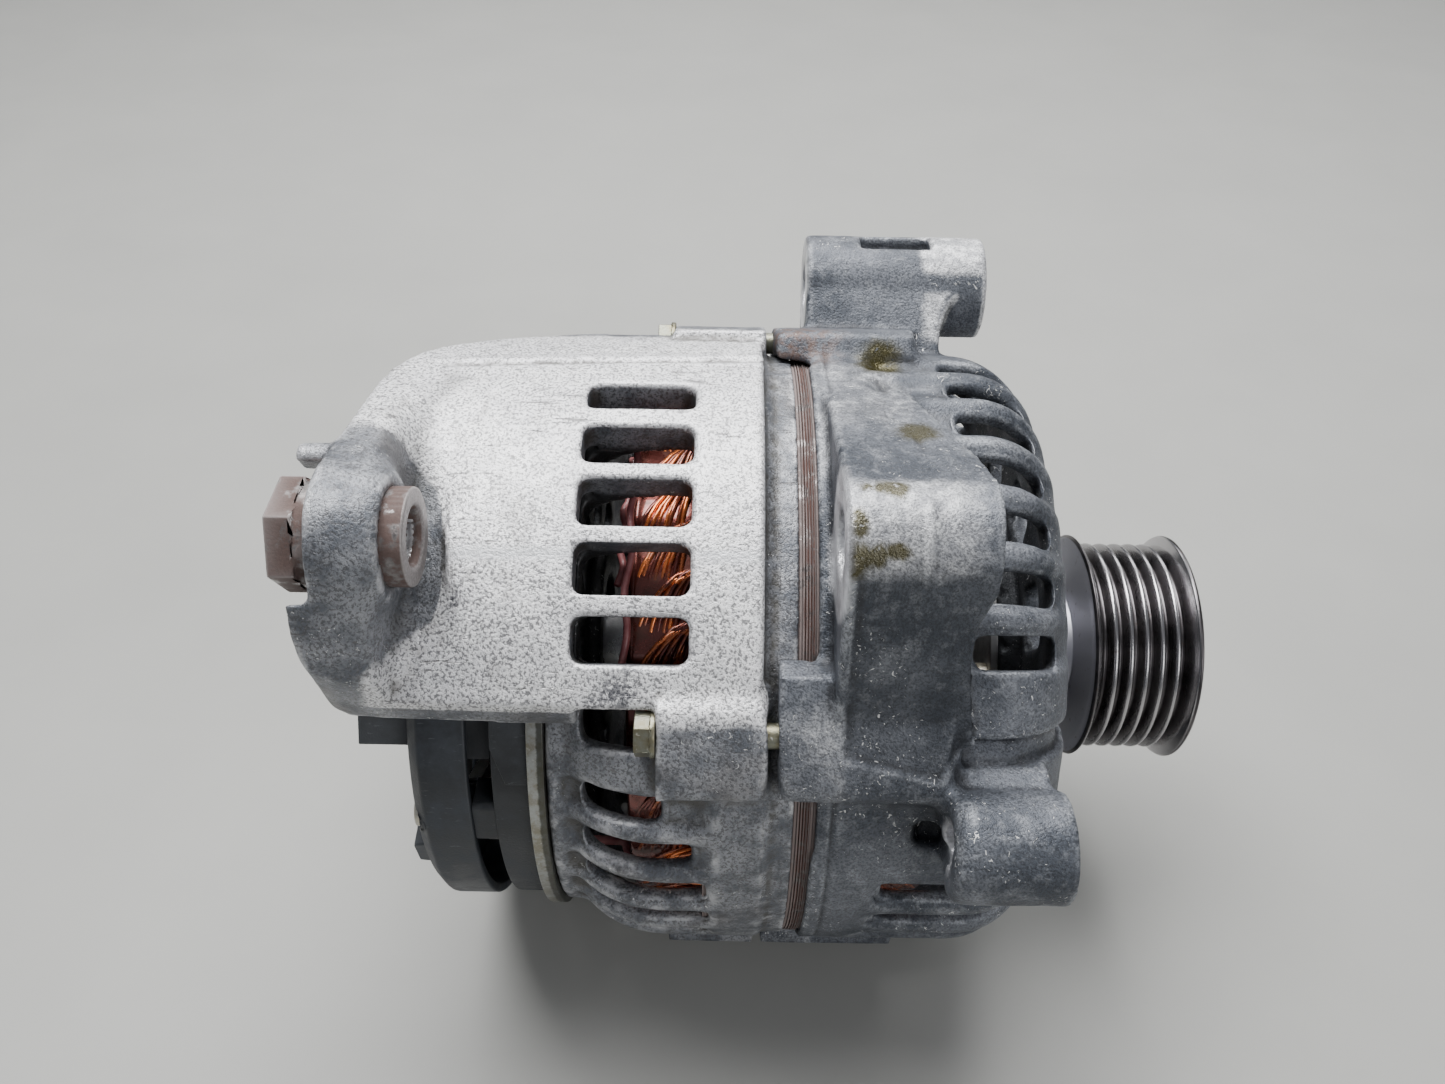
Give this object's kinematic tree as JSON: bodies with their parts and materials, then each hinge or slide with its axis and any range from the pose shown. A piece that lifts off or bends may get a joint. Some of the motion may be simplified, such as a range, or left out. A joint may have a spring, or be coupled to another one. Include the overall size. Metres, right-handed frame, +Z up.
{
  "type": "car alternator",
  "caption": "Claw-pole car alternator with cast slotted housings, ribbed belt pulley, three mounting lugs, sliding threaded bushing and a black rear cover.",
  "frame": {"origin": "middle of the shaft's front end face, on the shaft axis, inside the pulley's recess", "axes": "+X along the shaft, out through the pulley; +Z up as the alternator lies on its side on a floor; the long rear arm and the pivot bosses are at the upper -Y side"},
  "size_m": [0.1901, 0.1591, 0.1563],
  "materials": {
    "cast_front": "worn sand-cast aluminium, blue-grey",
    "cast_rear": "blasted cast aluminium",
    "laminations": "rusty laminated steel",
    "winding": "enamelled copper",
    "liner": "insulating paper",
    "lead": "sleeved lead",
    "zinc_bolt": "yellow zinc plated",
    "bearing_steel": "ground steel",
    "seal": "moulded rubber",
    "plate_steel": "pressed steel",
    "screw_steel": "zinc plated",
    "sleeve_plastic": "moulded plastic",
    "zinc_plate": "yellowed zinc plating",
    "plus_plate": "pressed sheet",
    "diode_case": "plated case",
    "spring_steel": "spring wire",
    "pin_brass": "tinned brass",
    "cover_plastic": "glass filled plastic",
    "stud_brass": "plated copper alloy",
    "nut_brass": "plated",
    "shaft_steel": "ground steel",
    "pole_steel": "forged steel",
    "field_copper": "enamelled copper",
    "bobbin": "moulded plastic",
    "fan_steel": "stamped steel",
    "pulley_steel": "dark steel, polished ridges",
    "nut_steel": "zinc plated",
    "black_plastic": "glass filled plastic",
    "ring_copper": "turned copper",
    "ball_steel": "polished",
    "cage": "pressed brass",
    "carbon": "pressed carbon",
    "bushing_steel": "rusty steel"
  },
  "bodies": {
    "housing": {"front_housing": "cast_front", "rear_housing": "cast_rear", "stator_core": "laminations", "stator_winding": "winding", "slot_liners": "liner", "phase_leads": "lead", "through_bolts": "zinc_bolt", "front_bearing_outer": "bearing_steel", "front_bearing_seals": "seal", "bearing_retainer": "plate_steel", "retainer_screws": "screw_steel", "rear_bearing_outer": "bearing_steel", "rear_bearing_seals": "seal", "rear_bearing_sleeve": "sleeve_plastic", "negative_heat_sink": "zinc_plate", "positive_heat_sink": "plus_plate", "heat_sink_insulators": "bobbin", "diodes": "diode_case", "rectifier_carrier": "black_plastic", "brush_holder": "black_plastic", "brush_spring_inner": "spring_steel", "brush_spring_outer": "spring_steel", "connector_pins": "pin_brass", "rear_cover": "cover_plastic", "cover_screws": "screw_steel", "b_plus_stud": "stud_brass", "b_plus_nut": "nut_brass"},
    "rotor": {"rotor_shaft": "shaft_steel", "claw_pole_front": "pole_steel", "claw_pole_rear": "pole_steel", "field_coil": "field_copper", "coil_bobbin": "bobbin", "front_fan": "fan_steel", "rear_fan": "fan_steel", "pulley_spacer": "shaft_steel", "pulley": "pulley_steel", "pulley_nut": "nut_steel", "slip_ring_hub": "black_plastic", "slip_rings": "ring_copper", "front_bearing_inner": "bearing_steel", "rear_bearing_inner": "bearing_steel"},
    "front_ball_set": {"front_bearing_balls": "ball_steel", "front_bearing_cage": "cage"},
    "rear_ball_set": {"rear_bearing_balls": "ball_steel", "rear_bearing_cage": "cage"},
    "inner_brush": {"brush_inner": "carbon"},
    "outer_brush": {"brush_outer": "carbon"},
    "bushing": {"mount_bushing": "bushing_steel"}
  },
  "joints": [
    {"name": "rotor_spin", "type": "hinge", "parent": "housing", "child": "rotor", "pos_m": [0, 0, 0], "axis": [1, 0, 0], "continuous": true},
    {"name": "front_bearing_roll", "type": "hinge", "parent": "housing", "child": "front_ball_set", "pos_m": [0, 0, 0], "axis": [1, 0, 0], "continuous": true},
    {"name": "rear_bearing_roll", "type": "hinge", "parent": "housing", "child": "rear_ball_set", "pos_m": [0, 0, 0], "axis": [1, 0, 0], "continuous": true},
    {"name": "inner_brush_slide", "type": "slide", "parent": "housing", "child": "inner_brush", "axis": [0, -0.8434, 0.5373], "range_m": [0, 0.004], "stiffness_N_per_m": 500, "springref_m": -0.006, "deforming": ["brush_spring_inner"]},
    {"name": "outer_brush_slide", "type": "slide", "parent": "housing", "child": "outer_brush", "axis": [0, -0.8434, 0.5373], "range_m": [0, 0.004], "stiffness_N_per_m": 500, "springref_m": -0.006, "deforming": ["brush_spring_outer"]},
    {"name": "bushing_slide", "type": "slide", "parent": "housing", "child": "bushing", "axis": [1, 0, 0], "range_m": [-0.004, 0]}
  ],
  "couplings": [
    {"joint": "front_bearing_roll", "follows": "rotor_spin", "ratio": 0.3531},
    {"joint": "rear_bearing_roll", "follows": "rotor_spin", "ratio": 0.4096}
  ]
}
